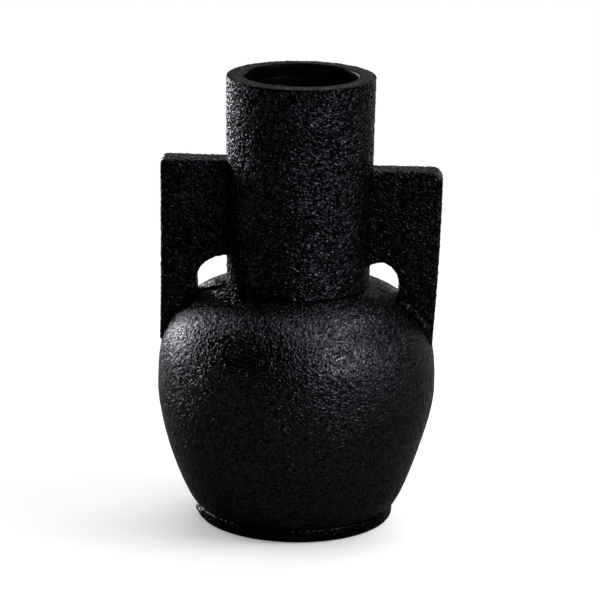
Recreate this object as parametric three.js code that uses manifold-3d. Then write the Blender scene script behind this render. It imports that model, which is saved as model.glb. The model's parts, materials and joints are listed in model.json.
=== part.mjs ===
// A thick-walled stoneware vase with a straight neck, a full round belly and two slab handles.
// Units are millimetres, +Z is up, and the foot stands on z = 0 with the belly's axis on z.
// The potter's pieces are kept apart: belly, neck, foot ring and two handles scribed to both.

import * as THREE from 'three';
import { mergeVertices } from 'three/addons/utils/BufferGeometryUtils.js';
import Module from 'manifold-3d';

// Foot ring
const FOOT_HEIGHT = 10.7;
const FOOT_RADIUS = 70.4;
const FOOT_WIDTH = 14;
const FOOT_BASE_ROUNDING = 5;
const FOOT_TOP_ROUNDING = 1.6;
const FOOT_INNER_ROUNDING = 1.6;

// Belly
const BELLY_HEIGHT = 161.3;
const BELLY_RADIUS = 98.9;
const BELLY_WIDEST_HEIGHT = 86.3;
const BELLY_BASE_RADIUS = 70;
const BELLY_WALL = 10;
const BELLY_FLOOR = 11;
const FLOOR_FILLET = 9;

// Belly curves: how far each end runs on straight, as a share of that stretch's width or height
const BASE_FLARE_WIDTH_SHARE = 0.29;
const BASE_FLARE_HEIGHT_SHARE = 0.045;
const LOWER_FULLNESS = 0.26;
const UPPER_FULLNESS = 0.35;
const SHOULDER_FULLNESS = 1.02;
const SHOULDER_SLOPE_DEGREES = 12;

// Neck
const NECK_HEIGHT = 150;
const NECK_SEAT_RADIUS = 51;
const NECK_RIM_RADIUS = 52.9;
const BORE_RADIUS = 40;
const RIM_OUTER_ROUNDING = 1.8;
const RIM_INNER_ROUNDING = 2.2;

// Both handle slabs: the tip's inset is from the belly's widest, the top's lean is out from the tip
const HANDLE_THICKNESS = 24;
const HANDLE_EDGE_ROUNDING = 3;
const LUTING_GAP = 0.3;

// Left handle: its arch springs from the neck
const LEFT_TOP_HEIGHT = 262.1;
const LEFT_TOP_LEAN = 0.5;
const LEFT_TIP_HEIGHT = 129.5;
const LEFT_TIP_INSET = 1.3;
const LEFT_EDGE_BULGE = -0.3;
const LEFT_CORNER_RADIUS = 4;
const LEFT_ARCH_CENTRE = 49.7;
const LEFT_ARCH_HALF_WIDTH = 21.8;
const LEFT_ARCH_RISE = 18.2;
const LEFT_ARCH_SPRING_HEIGHT = 174.3;

// Right handle: set a little lower by hand, with a round arch
const RIGHT_TOP_HEIGHT = 257;
const RIGHT_TOP_LEAN = 4.3;
const RIGHT_TIP_HEIGHT = 130;
const RIGHT_TIP_INSET = 2.1;
const RIGHT_EDGE_BULGE = 0.9;
const RIGHT_CORNER_RADIUS = 8;
const RIGHT_ARCH_CENTRE = 58.2;
const RIGHT_ARCH_HALF_WIDTH = 12.9;
const RIGHT_ARCH_RISE = 15.2;
const RIGHT_ARCH_SPRING_HEIGHT = 174.4;

// Fineness of the facets
const ROUND_SEGMENTS = 64;
const BELLY_CURVE_STEPS = 11;
const ROUNDING_STEPS = 3;
const OUTLINE_STEPS = 8;

// Levels above the floor, which follow from the sizes above
const BELLY_SEAT = FOOT_HEIGHT;
const BELLY_WIDEST = BELLY_SEAT + BELLY_WIDEST_HEIGHT;
const NECK_SEAT = BELLY_SEAT + BELLY_HEIGHT;

// Reaches of the handles from the axis, which follow the belly
const LEFT_TIP_REACH = BELLY_RADIUS - LEFT_TIP_INSET;
const RIGHT_TIP_REACH = BELLY_RADIUS - RIGHT_TIP_INSET;

// Fired clay under a rough black slip
const SLIP_COLOUR = 0x1c1b1d;
const SLIP_ROUGHNESS = 0.72;

const wasm = await Module();
wasm.setup();

// A place on a turned piece's line: its radius and its height
const at = (radius, height) => new THREE.Vector2(radius, height);

// A round stretch between two angles, in degrees from the radius towards +Z
function arc(centreRadius, centreHeight, rounding, fromDegrees, toDegrees) {
  const points = [];
  for (let i = 0; i <= ROUNDING_STEPS; i++) {
    const degrees = fromDegrees + ((toDegrees - fromDegrees) * i) / ROUNDING_STEPS;
    const angle = THREE.MathUtils.degToRad(degrees);
    points.push(
      at(centreRadius + rounding * Math.cos(angle), centreHeight + rounding * Math.sin(angle))
    );
  }
  return points;
}

// A line spun around the axis
function turned(line) {
  const geometry = new THREE.LatheGeometry(line, ROUND_SEGMENTS);
  geometry.rotateX(Math.PI / 2);
  return geometry;
}

// The belly's outside, from its own underside up, as two curves that meet upright at the widest
function bellyCurves() {
  const lowerWidth = BELLY_RADIUS - BELLY_BASE_RADIUS;
  const upperHeight = BELLY_HEIGHT - BELLY_WIDEST_HEIGHT;
  const shoulderRun = SHOULDER_FULLNESS * (BELLY_RADIUS - NECK_SEAT_RADIUS);
  const slope = THREE.MathUtils.degToRad(SHOULDER_SLOPE_DEGREES);
  const lower = new THREE.CubicBezierCurve(
    at(BELLY_BASE_RADIUS, 0),
    at(
      BELLY_BASE_RADIUS + BASE_FLARE_WIDTH_SHARE * lowerWidth,
      BASE_FLARE_HEIGHT_SHARE * BELLY_WIDEST_HEIGHT
    ),
    at(BELLY_RADIUS, (1 - LOWER_FULLNESS) * BELLY_WIDEST_HEIGHT),
    at(BELLY_RADIUS, BELLY_WIDEST_HEIGHT)
  );
  const upper = new THREE.CubicBezierCurve(
    at(BELLY_RADIUS, BELLY_WIDEST_HEIGHT),
    at(BELLY_RADIUS, BELLY_WIDEST_HEIGHT + UPPER_FULLNESS * upperHeight),
    at(
      NECK_SEAT_RADIUS + shoulderRun * Math.cos(slope),
      BELLY_HEIGHT - shoulderRun * Math.sin(slope)
    ),
    at(NECK_SEAT_RADIUS, BELLY_HEIGHT)
  );
  return [lower, upper];
}

// The belly's outside moved outwards by a distance, or inwards where that is negative
function bellyLine(distance) {
  const points = [];
  for (const curve of bellyCurves()) {
    const first = points.length === 0 ? 0 : 1;
    for (let i = first; i <= BELLY_CURVE_STEPS; i++) {
      const place = curve.getPoint(i / BELLY_CURVE_STEPS);
      const along = curve.getTangent(i / BELLY_CURVE_STEPS);
      points.push(at(place.x + along.y * distance, place.y - along.x * distance));
    }
  }
  return points;
}

// The hollow's line, from the bore's top edge down to the middle of the floor
function hollowLine() {
  const wall = bellyLine(-BELLY_WALL).filter((place) => place.y > BELLY_FLOOR + FLOOR_FILLET);
  const lowest = wall[0];
  const highest = wall[wall.length - 1];
  const fillet = new THREE.QuadraticBezierCurve(
    lowest,
    at(lowest.x - FLOOR_FILLET / 2, BELLY_FLOOR),
    at(lowest.x - FLOOR_FILLET * 2, BELLY_FLOOR)
  );
  return [
    at(BORE_RADIUS, BELLY_HEIGHT),
    at(BORE_RADIUS, highest.y),
    ...wall.reverse(),
    ...fillet.getPoints(ROUNDING_STEPS).slice(1),
    at(0, BELLY_FLOOR)
  ];
}

function bellyGeometry() {
  return turned([at(0, 0), ...bellyLine(0), ...hollowLine()]);
}

function neckGeometry() {
  const outer = RIM_OUTER_ROUNDING;
  const inner = RIM_INNER_ROUNDING;
  return turned([
    at(BORE_RADIUS, 0),
    at(NECK_SEAT_RADIUS, 0),
    ...arc(NECK_RIM_RADIUS - outer, NECK_HEIGHT - outer, outer, 0, 90),
    ...arc(BORE_RADIUS + inner, NECK_HEIGHT - inner, inner, 90, 180),
    at(BORE_RADIUS, 0)
  ]);
}

function footGeometry() {
  const base = FOOT_BASE_ROUNDING;
  const top = FOOT_TOP_ROUNDING;
  const inner = FOOT_INNER_ROUNDING;
  const innerRadius = FOOT_RADIUS - FOOT_WIDTH;
  return turned([
    at(innerRadius + inner, 0),
    ...arc(FOOT_RADIUS - base, base, base, -90, 0),
    ...arc(FOOT_RADIUS - top, FOOT_HEIGHT - top, top, 0, 90),
    at(innerRadius, FOOT_HEIGHT),
    at(innerRadius, inner),
    at(innerRadius + inner, 0)
  ]);
}

// A geometry as a solid that can cut or be cut
function solidOf(geometry) {
  const bare = geometry.clone();
  bare.deleteAttribute('normal');
  bare.deleteAttribute('uv');
  const merged = mergeVertices(bare);
  const vertProperties = new Float32Array(merged.attributes.position.array);
  const triVerts = new Uint32Array(merged.index.array);
  return new wasm.Manifold(new wasm.Mesh({ numProp: 3, vertProperties, triVerts }));
}

function geometryOf(solid) {
  const mesh = solid.getMesh();
  const geometry = new THREE.BufferGeometry();
  geometry.setAttribute('position', new THREE.BufferAttribute(mesh.vertProperties, mesh.numProp));
  geometry.setIndex(new THREE.BufferAttribute(mesh.triVerts, 1));
  geometry.computeVertexNormals();
  return geometry;
}

// What the handles are scribed to: the vase's outside, solid right through, grown by the gap
function scribingForm() {
  const belly = turned([
    at(0, -LUTING_GAP),
    ...bellyLine(LUTING_GAP),
    at(0, BELLY_HEIGHT + LUTING_GAP)
  ]);
  belly.translate(0, 0, BELLY_SEAT);
  const neck = turned([
    at(0, BELLY_WIDEST),
    at(NECK_SEAT_RADIUS + LUTING_GAP, BELLY_WIDEST),
    at(NECK_SEAT_RADIUS + LUTING_GAP, NECK_SEAT),
    at(NECK_RIM_RADIUS + LUTING_GAP, NECK_SEAT + NECK_HEIGHT),
    at(0, NECK_SEAT + NECK_HEIGHT)
  ]);
  return solidOf(belly).add(solidOf(neck));
}

// A slab's outline from the front, drawn to the right of the axis, with its root inside the neck
function slabOutline(size) {
  const root = BORE_RADIUS / 2;
  const corner = size.cornerRadius;
  const bowReach = (size.topReach + size.tipReach) / 2 + 2 * size.edgeBulge;
  const bowHeight = (size.topHeight + size.tipHeight) / 2;
  const centre = at(size.topReach - corner, size.topHeight - corner);
  const lean = Math.atan2(size.topReach - bowReach, centre.y - bowHeight);
  const start = at(centre.x + corner * Math.cos(lean), centre.y - corner * Math.sin(lean));
  const shape = new THREE.Shape();
  shape.moveTo(root, size.tipHeight);
  shape.lineTo(size.tipReach, size.tipHeight);
  shape.quadraticCurveTo(bowReach, bowHeight, start.x, start.y);
  shape.absarc(centre.x, centre.y, corner, -lean, Math.PI / 2, false);
  shape.lineTo(root, size.topHeight);
  shape.closePath();
  return shape;
}

// The arched gap, whose jambs run down into the belly
function archOutline(size) {
  const insideBelly = (size.tipHeight + size.archSpring) / 2;
  const hole = new THREE.Path();
  hole.moveTo(size.archCentre - size.archHalfWidth, insideBelly);
  hole.lineTo(size.archCentre + size.archHalfWidth, insideBelly);
  hole.lineTo(size.archCentre + size.archHalfWidth, size.archSpring);
  hole.absellipse(
    size.archCentre, size.archSpring, size.archHalfWidth, size.archRise, 0, Math.PI, false
  );
  hole.closePath();
  return hole;
}

// A rounded slab cut to sit against the neck and the curve of the shoulder
function handleGeometry(size, scribed) {
  const outline = slabOutline(size);
  outline.holes.push(archOutline(size));
  const straight = HANDLE_THICKNESS - 2 * HANDLE_EDGE_ROUNDING;
  const slab = new THREE.ExtrudeGeometry(outline, {
    depth: straight,
    curveSegments: OUTLINE_STEPS,
    bevelThickness: HANDLE_EDGE_ROUNDING,
    bevelSize: HANDLE_EDGE_ROUNDING,
    bevelOffset: -HANDLE_EDGE_ROUNDING,
    bevelSegments: ROUNDING_STEPS
  });
  slab.translate(0, 0, -straight / 2);
  slab.rotateX(Math.PI / 2);
  return geometryOf(solidOf(slab).subtract(scribed));
}

function piece(name, geometry) {
  const material = new THREE.MeshStandardMaterial({
    color: SLIP_COLOUR,
    roughness: SLIP_ROUGHNESS,
    metalness: 0
  });
  const mesh = new THREE.Mesh(geometry, material);
  mesh.name = name;
  return mesh;
}

const leftHandle = {
  topHeight: LEFT_TOP_HEIGHT,
  topReach: LEFT_TIP_REACH + LEFT_TOP_LEAN,
  tipHeight: LEFT_TIP_HEIGHT,
  tipReach: LEFT_TIP_REACH,
  edgeBulge: LEFT_EDGE_BULGE,
  cornerRadius: LEFT_CORNER_RADIUS,
  archCentre: LEFT_ARCH_CENTRE,
  archHalfWidth: LEFT_ARCH_HALF_WIDTH,
  archRise: LEFT_ARCH_RISE,
  archSpring: LEFT_ARCH_SPRING_HEIGHT
};

const rightHandle = {
  topHeight: RIGHT_TOP_HEIGHT,
  topReach: RIGHT_TIP_REACH + RIGHT_TOP_LEAN,
  tipHeight: RIGHT_TIP_HEIGHT,
  tipReach: RIGHT_TIP_REACH,
  edgeBulge: RIGHT_EDGE_BULGE,
  cornerRadius: RIGHT_CORNER_RADIUS,
  archCentre: RIGHT_ARCH_CENTRE,
  archHalfWidth: RIGHT_ARCH_HALF_WIDTH,
  archRise: RIGHT_ARCH_RISE,
  archSpring: RIGHT_ARCH_SPRING_HEIGHT
};

const vase = new THREE.Group();

vase.add(piece('foot_ring', footGeometry()));

const belly = piece('belly', bellyGeometry());
belly.position.z = BELLY_SEAT;
vase.add(belly);

const neck = piece('neck', neckGeometry());
neck.position.z = NECK_SEAT;
vase.add(neck);

const scribed = scribingForm();
vase.add(piece('handle_right', handleGeometry(rightHandle, scribed)));

// The left slab is drawn on the right as well and turned round to its side
const left = piece('handle_left', handleGeometry(leftHandle, scribed));
left.rotation.z = Math.PI;
vase.add(left);

export default vase;
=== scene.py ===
"""Looks of a black stoneware vase: pebbled slip, slab handles luted on by hand, soft studio light.

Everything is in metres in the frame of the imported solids, +Z up, with the vase standing on z = 0.
"""

from __future__ import annotations

import itertools
import json
import logging
import math
from abc import ABC, abstractmethod
from dataclasses import dataclass, field
from enum import Enum

import bpy
import numpy as np
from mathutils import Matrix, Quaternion, Vector

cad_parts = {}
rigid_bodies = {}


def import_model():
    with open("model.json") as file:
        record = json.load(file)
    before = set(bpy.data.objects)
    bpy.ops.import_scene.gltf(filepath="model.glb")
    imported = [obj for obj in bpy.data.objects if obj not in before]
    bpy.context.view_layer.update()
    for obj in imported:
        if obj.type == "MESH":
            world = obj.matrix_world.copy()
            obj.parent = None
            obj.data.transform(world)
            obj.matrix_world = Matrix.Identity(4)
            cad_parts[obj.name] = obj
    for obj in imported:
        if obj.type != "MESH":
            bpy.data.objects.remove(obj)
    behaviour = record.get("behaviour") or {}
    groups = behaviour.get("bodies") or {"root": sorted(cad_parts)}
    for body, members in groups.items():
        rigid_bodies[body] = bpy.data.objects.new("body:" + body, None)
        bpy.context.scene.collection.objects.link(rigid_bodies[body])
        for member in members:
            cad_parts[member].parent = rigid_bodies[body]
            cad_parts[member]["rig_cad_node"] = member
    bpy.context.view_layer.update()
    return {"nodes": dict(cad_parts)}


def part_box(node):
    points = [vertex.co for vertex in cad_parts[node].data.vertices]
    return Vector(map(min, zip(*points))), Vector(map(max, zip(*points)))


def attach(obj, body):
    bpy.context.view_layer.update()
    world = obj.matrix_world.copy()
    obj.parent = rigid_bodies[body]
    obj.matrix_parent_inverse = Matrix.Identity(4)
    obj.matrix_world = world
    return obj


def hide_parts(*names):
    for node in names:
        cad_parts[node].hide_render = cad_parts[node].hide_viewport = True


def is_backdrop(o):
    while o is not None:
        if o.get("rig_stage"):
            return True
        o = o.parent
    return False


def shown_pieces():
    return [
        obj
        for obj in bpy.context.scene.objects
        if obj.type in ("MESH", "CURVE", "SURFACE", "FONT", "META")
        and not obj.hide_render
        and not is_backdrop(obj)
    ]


LOG = logging.getLogger("vase")
MM = 0.001
BODY = "root"
CREST = "crest"
COVER = "cover"
PLAIN_LEVEL = 0.53
WELD_REACH = 0.01 * MM
CELL_STRIDES = (0x9E3779B97F4A7C15, 0xC2B2AE3D27D4EB4F, 0x165667B19E3779F9)
SALT_STRIDE = 7919
SCRAMBLERS = (0xBF58476D1CE4E5B9, 0x94D049BB133111EB)


class Weathering(Enum):
    """How the slip broke up as it dried: into raised grains, or into a skin with pits."""

    GRAINED = "grained"
    PITTED = "pitted"


def random_in_cells(cells: np.ndarray, salt: int) -> np.ndarray:
    """Gives each whole-number cell its own repeatable random place.

    Args:
        cells: Cell numbers, one row of three for each point.
        salt: A number that makes one layer differ from another.

    Returns:
        Three numbers from 0 to 1 for each row.
    """
    whole = cells.astype(np.int64).view(np.uint64)
    step, across, up = (np.uint64(stride) for stride in CELL_STRIDES)
    first, second = (np.uint64(scrambler) for scrambler in SCRAMBLERS)
    mixed = whole[:, 0] * step + whole[:, 1] * across + whole[:, 2] * up
    mixed = mixed + np.uint64(salt * SALT_STRIDE + 1)
    numbers = np.empty((len(cells), 3))
    for column in range(3):
        mixed = mixed + step
        scrambled = (mixed ^ (mixed >> np.uint64(30))) * first
        scrambled = (scrambled ^ (scrambled >> np.uint64(27))) * second
        scrambled = scrambled ^ (scrambled >> np.uint64(31))
        numbers[:, column] = (scrambled >> np.uint64(11)).astype(float) / float(1 << 53)
    return numbers


def drift(points: np.ndarray, salt: int) -> np.ndarray:
    """Smooth three-way noise, from -1 to 1, that wanders over about one unit.

    Args:
        points: Places in units of the noise's own size.
        salt: A number that makes one layer differ from another.

    Returns:
        A vector for each place.
    """
    base = np.floor(points)
    share = points - base
    share = share * share * (3 - 2 * share)
    total = np.zeros_like(points)
    for corner in itertools.product((0, 1), repeat=3):
        weight = np.prod(np.where(corner, share, 1 - share), axis=1)
        total += weight[:, None] * random_in_cells(base + corner, salt)
    return total * 2 - 1


def domes(points: np.ndarray, salt: int, narrow: float, wide: float) -> np.ndarray:
    """Round-topped grains strewn one to a cell, each with its own width and height.

    Args:
        points: Places in units of the grains' spacing.
        salt: A number that makes one layer differ from another.
        narrow: The smallest grain's radius.
        wide: The largest grain's radius.

    Returns:
        The height at each place, from 0 between grains to 1 on the highest.
    """
    base = np.floor(points)
    highest = np.zeros(len(points))
    for step in itertools.product((-1, 0, 1), repeat=3):
        cell = base + step
        centre = random_in_cells(cell, salt)
        size = random_in_cells(cell, salt + 1)
        radius = narrow + (wide - narrow) * size[:, 0]
        gap = np.sum((points - cell - centre) ** 2, axis=1) / radius**2
        dome = (0.45 + 0.55 * size[:, 1]) * np.clip(1 - gap, 0, 1)
        highest = np.maximum(highest, dome)
    return highest


@dataclass(frozen=True)
class Crust:
    """The relief of the dried slip: how far apart its grains are and how deep it goes."""

    weathering: Weathering
    spacing: float
    relief: float
    salt: int

    def level(self, points: np.ndarray) -> np.ndarray:
        """Gives the height of the crust at each place.

        Args:
            points: Places on the piece, in metres.

        Returns:
            1 on the highest crests and 0 in the deepest pits.
        """
        unit = points / self.spacing
        bent = unit + 0.45 * drift(unit / 2.3, self.salt + 10)
        patches = drift(unit / 7.0, self.salt + 20)[:, 0]
        grit = domes(bent * 1.9, self.salt + 30, 0.3, 0.75)
        if self.weathering is Weathering.PITTED:
            pits = domes(bent, self.salt, 0.25, 0.62)
            wrinkles = np.abs(drift(bent / 1.4, self.salt + 40)[:, 1])
            level = 0.92 - 0.62 * pits - 0.2 * (1 - wrinkles) ** 6 + 0.14 * grit + 0.08 * patches
        else:
            coarse = domes(bent, self.salt, 0.42, 0.95)
            level = 0.16 + 0.66 * coarse + 0.24 * grit + 0.1 * patches
        return np.clip(level, 0, 1)


@dataclass(frozen=True)
class Ring:
    """One level of a turned piece: a circle, or a point on the axis where turns is 0."""

    radius: float
    height: float
    turns: int


def bezier(ends: list[tuple[float, float]], count: int = 200) -> np.ndarray:
    """Points of a cubic curve.

    Args:
        ends: The curve's four control points, as radius and height.
        count: How many points to give, both ends among them.

    Returns:
        One row of radius and height for each point.
    """
    a, b, c, d = (np.array(end) for end in ends)
    t = np.linspace(0, 1, count)[:, None]
    return (1 - t) ** 3 * a + 3 * (1 - t) ** 2 * t * b + 3 * (1 - t) * t * t * c + t**3 * d


def evenly(line: np.ndarray, spacing: float) -> np.ndarray:
    """Spreads points along a line at an even spacing.

    Args:
        line: Points of the line, in order.
        spacing: The wished distance between points.

    Returns:
        The new points, with both ends kept.
    """
    steps = np.linalg.norm(np.diff(line, axis=0), axis=1)
    along = np.concatenate([[0.0], np.cumsum(steps)])
    count = max(2, int(round(along[-1] / spacing)) + 1)
    places = np.linspace(0, along[-1], count)
    return np.stack([np.interp(places, along, line[:, k]) for k in range(line.shape[1])], axis=1)


def directions(line: np.ndarray) -> np.ndarray:
    """The way along a line at each of its points.

    Args:
        line: Points of the line, in order.

    Returns:
        A vector of length 1 for each point.
    """
    along = np.gradient(line, axis=0)
    return along / np.linalg.norm(along, axis=1)[:, None]


def arc(centre: tuple[float, float], radius: float, start: float, end: float) -> np.ndarray:
    """Points of a round stretch between two angles.

    Args:
        centre: The round's centre, as radius and height.
        radius: The round's own radius.
        start: The first angle in degrees, counted from the radius towards +Z.
        end: The last angle in degrees.

    Returns:
        Twelve points.
    """
    angles = np.radians(np.linspace(start, end, 12))
    across = centre[0] + radius * np.cos(angles)
    return np.stack([across, centre[1] + radius * np.sin(angles)], axis=1)


def add_object(name: str, mesh: bpy.types.Mesh) -> bpy.types.Object:
    """Puts a mesh into the scene as a smooth-shaded object.

    Args:
        name: The object's name.
        mesh: Its mesh.

    Returns:
        The object.
    """
    piece = bpy.data.objects.new(name, mesh)
    bpy.context.scene.collection.objects.link(piece)
    mesh.shade_smooth()
    return piece


def places_of(piece: bpy.types.Object) -> np.ndarray:
    """Reads the places of a mesh object's points.

    Args:
        piece: The mesh object.

    Returns:
        One row for each point.
    """
    places = np.empty(len(piece.data.vertices) * 3, np.float32)
    piece.data.vertices.foreach_get("co", places)
    return places.reshape(-1, 3).astype(float)


def move_points(piece: bpy.types.Object, places: np.ndarray) -> None:
    """Puts a mesh object's points at new places."""
    piece.data.vertices.foreach_set("co", places.astype(np.float32).ravel())
    piece.data.update()


def normals_of(piece: bpy.types.Object) -> np.ndarray:
    """Reads the outward direction at each of a mesh object's points.

    Args:
        piece: The mesh object.

    Returns:
        One row for each point.
    """
    outward = np.empty(len(piece.data.vertices) * 3, np.float32)
    piece.data.vertex_normals.foreach_get("vector", outward)
    return outward.reshape(-1, 3).astype(float)


def apply_modifiers(piece: bpy.types.Object) -> None:
    """Turns a piece's modifiers into plain mesh.

    Args:
        piece: The mesh object.
    """
    graph = bpy.context.evaluated_depsgraph_get()
    mesh = bpy.data.meshes.new_from_object(piece.evaluated_get(graph), depsgraph=graph)
    old = piece.data
    piece.modifiers.clear()
    piece.data = mesh
    bpy.data.meshes.remove(old)
    mesh.shade_smooth()


def weld(piece: bpy.types.Object, reach: float = WELD_REACH) -> bpy.types.Object:
    """Joins the points of a piece that lie on each other.

    Args:
        piece: The mesh object.
        reach: How far apart two joined points may be.

    Returns:
        The same object.
    """
    merge = piece.modifiers.new("merge", "WELD")
    merge.merge_threshold = reach
    apply_modifiers(piece)
    return piece


def spin(name: str, rings: list[Ring]) -> bpy.types.Object:
    """Makes a turned piece from its rings, from the underside round the outside and back in.

    Args:
        name: The new object's name.
        rings: The levels in order. Neighbours have equal turns, or one a multiple of the other's.

    Returns:
        A closed mesh object.
    """
    points: list[np.ndarray] = []
    starts: list[int] = []
    total = 0
    for ring in rings:
        count = max(1, ring.turns)
        angles = 2 * math.pi * np.arange(count) / count
        circle = [ring.radius * np.cos(angles), ring.radius * np.sin(angles)]
        points.append(np.stack([*circle, np.full(count, ring.height)], axis=1))
        starts.append(total)
        total += count
    faces: list[list[int]] = []
    for (low, first), (high, second) in itertools.pairwise(zip(rings, starts)):
        fewer = max(1, min(t for t in (low.turns, high.turns) if t > 0))
        lower = low.turns // fewer
        upper = high.turns // fewer
        for j in range(fewer):
            face = [first + (j * lower + k) % max(1, low.turns) for k in range(lower + 1)]
            back = [second + (j * upper + k) % max(1, high.turns) for k in range(upper + 1)]
            faces.append(face + back[::-1])
    mesh = bpy.data.meshes.new(name)
    mesh.from_pydata(np.concatenate(points).tolist(), [], faces)
    mesh.update()
    return add_object(name, mesh)


def roughen(
    piece: bpy.types.Object,
    crust: Crust,
    where: np.ndarray,
    plain: float | np.ndarray = PLAIN_LEVEL,
) -> None:
    """Sinks a surface between the crests of its crust and stores the crust's level on it.

    Args:
        piece: The mesh object.
        crust: The relief to press in.
        where: How much of the relief each point takes, from 0 to 1.
        plain: The level to store where the surface takes no relief.
    """
    places = places_of(piece)
    level = crust.level(places)
    sunk = crust.relief * (1 - level) * where
    move_points(piece, places - normals_of(piece) * sunk[:, None])
    for name, values in ((CREST, level * where + plain * (1 - where)), (COVER, where)):
        attribute = piece.data.attributes.new(name, "FLOAT", "POINT")
        attribute.data.foreach_set("value", values.astype(np.float32))


class ClayPiece(ABC):
    """A piece of fired clay that builds its own mesh and takes its slip."""

    @abstractmethod
    def build(self) -> bpy.types.Object:
        """Builds the piece's mesh object."""

    def make(self, material: bpy.types.Material, slot: str, *nodes: str) -> bpy.types.Object:
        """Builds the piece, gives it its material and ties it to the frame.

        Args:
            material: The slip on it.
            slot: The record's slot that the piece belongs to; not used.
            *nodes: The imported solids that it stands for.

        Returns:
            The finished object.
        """
        piece = self.build()
        piece.data.materials.clear()
        piece.data.materials.append(material)
        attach(piece, BODY)
        if nodes:
            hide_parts(*nodes)
        LOG.info("%s: %d faces, %s", piece.name, len(piece.data.polygons), material.name)
        return piece


@dataclass
class TurnedPiece(ClayPiece):
    """A piece thrown on the wheel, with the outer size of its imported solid."""

    node: str
    low: Vector = field(init=False)
    high: Vector = field(init=False)

    def __post_init__(self) -> None:
        """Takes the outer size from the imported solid."""
        self.low, self.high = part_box(self.node)


@dataclass
class Belly(TurnedPiece):
    """The thrown body, with its shoulder, wall and floor."""

    node: str = "belly"
    base_radius: float = 70 * MM
    base_flare_share: float = 0.29
    base_rise_share: float = 0.045
    widest_share: float = 86.3 / 161.3
    lower_fullness: float = 0.74
    upper_fullness: float = 0.35
    shoulder_fullness: float = 1.02
    shoulder_slope: float = 12.0
    seat_radius: float = 51 * MM
    seat_edge: float = 47.5 * MM
    seat_middle: float = 43 * MM
    bore_radius: float = 40 * MM
    under_edge: float = 64 * MM
    under_middle: float = 58 * MM
    wall: float = 10 * MM
    floor: float = 11 * MM
    floor_fillet: float = 9 * MM
    fillet_steps: tuple[tuple[float, float], ...] = ((4 * MM, 3 * MM), (12 * MM, 0.0))
    hollow_spacing: float = 4 * MM
    skin_reach: float = 0.5 * MM
    seat_fade: float = 1.2 * MM
    turns: int = 640
    spacing: float = 0.9 * MM
    quick_spacing: float = 4.0 * MM
    sag: float = 0.8 * MM
    sag_height: float = 50 * MM
    sag_spread: float = 28 * MM
    crust: Crust = Crust(Weathering.PITTED, 2.6 * MM, 0.8 * MM, 3)

    def outline_below(self) -> np.ndarray:
        """Draws the outside from the underside's edge up to the widest level.

        Returns:
            One row of radius and height for each point.
        """
        base, radius = self.low.z, self.high.y
        widest = self.widest_share * (self.high.z - self.low.z)
        flare = self.base_flare_share * (radius - self.base_radius)
        return bezier(
            [
                (self.base_radius, base),
                (self.base_radius + flare, base + self.base_rise_share * widest),
                (radius, base + self.lower_fullness * widest),
                (radius, base + widest),
            ]
        )

    def outline_above(self) -> np.ndarray:
        """Draws the outside from the widest level up to the neck's seat.

        Returns:
            One row of radius and height for each point.
        """
        base, radius = self.low.z, self.high.y
        height = self.high.z - self.low.z
        widest = self.widest_share * height
        run = self.shoulder_fullness * (radius - self.seat_radius)
        slope = math.radians(self.shoulder_slope)
        return bezier(
            [
                (radius, base + widest),
                (radius, base + widest + self.upper_fullness * (height - widest)),
                (self.seat_radius + run * math.cos(slope), self.high.z - run * math.sin(slope)),
                (self.seat_radius, self.high.z),
            ]
        )

    def outline(self) -> np.ndarray:
        """The outside from the underside's edge to the neck's seat, as radius and height."""
        return np.concatenate([self.outline_below(), self.outline_above()[1:]])

    def shoulder(self, reach: float) -> float:
        """Gives the height of the shoulder at a distance from the axis.

        Args:
            reach: The distance from the axis.

        Returns:
            The height.
        """
        line = self.outline_above()[1:][::-1]
        return float(np.interp(reach, line[:, 0], line[:, 1]))

    def hollow(self) -> np.ndarray:
        """The hollow's line from the bore's lower edge to the floor, as radius and height.

        Returns:
            One row for each point.
        """
        line = evenly(self.outline(), self.hollow_spacing)
        along = directions(line)
        across = line[:, 0] - along[:, 1] * self.wall
        inner = np.stack([across, line[:, 1] + along[:, 0] * self.wall], axis=1)
        floor = self.low.z + self.floor
        inner = inner[inner[:, 1] > floor + self.floor_fillet][::-1]
        last = inner[-1]
        turn = np.array([[last[0] - inward, floor + up] for inward, up in self.fillet_steps])
        return np.concatenate([[[self.bore_radius, inner[0][1]]], inner, turn])

    def rings(self) -> list[Ring]:
        """Lists the belly's levels from the middle of the underside round to the inner floor.

        Returns:
            The rings.
        """
        fine = self.turns
        coarse = fine // 4
        bottom, top = self.low.z, self.high.z
        outside = evenly(self.outline(), self.spacing)
        rings = [Ring(0, bottom, 0), Ring(self.under_middle, bottom, coarse)]
        rings += [Ring(self.under_edge, bottom, fine)]
        rings += [Ring(r, z, fine) for r, z in outside]
        rings += [Ring(self.seat_edge, top, fine), Ring(self.seat_middle, top, coarse)]
        rings += [Ring(self.bore_radius, top, coarse)]
        rings += [Ring(r, z, coarse) for r, z in self.hollow()]
        return rings + [Ring(0, bottom + self.floor, 0)]

    def build(self) -> bpy.types.Object:
        """Turns the belly, roughens its outside and lets its lower left side sag.

        Returns:
            The finished mesh object.
        """
        piece = spin("vase_belly", self.rings())
        places = places_of(piece)
        radius = np.hypot(places[:, 0], places[:, 1])
        line = self.outline()
        outer = np.interp(places[:, 2], line[:, 1], line[:, 0])
        where = np.clip(1 - np.abs(radius - outer) / self.skin_reach, 0, 1)
        where *= np.clip((radius - self.seat_radius) / self.seat_fade, 0, 1)
        roughen(piece, self.crust, where)
        places = places_of(piece)
        near = np.exp(-(((places[:, 2] - self.sag_height) / self.sag_spread) ** 2))
        places[:, 0] = np.maximum(places[:, 0] - self.sag * near, self.low.x)
        move_points(piece, places)
        return piece


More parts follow.
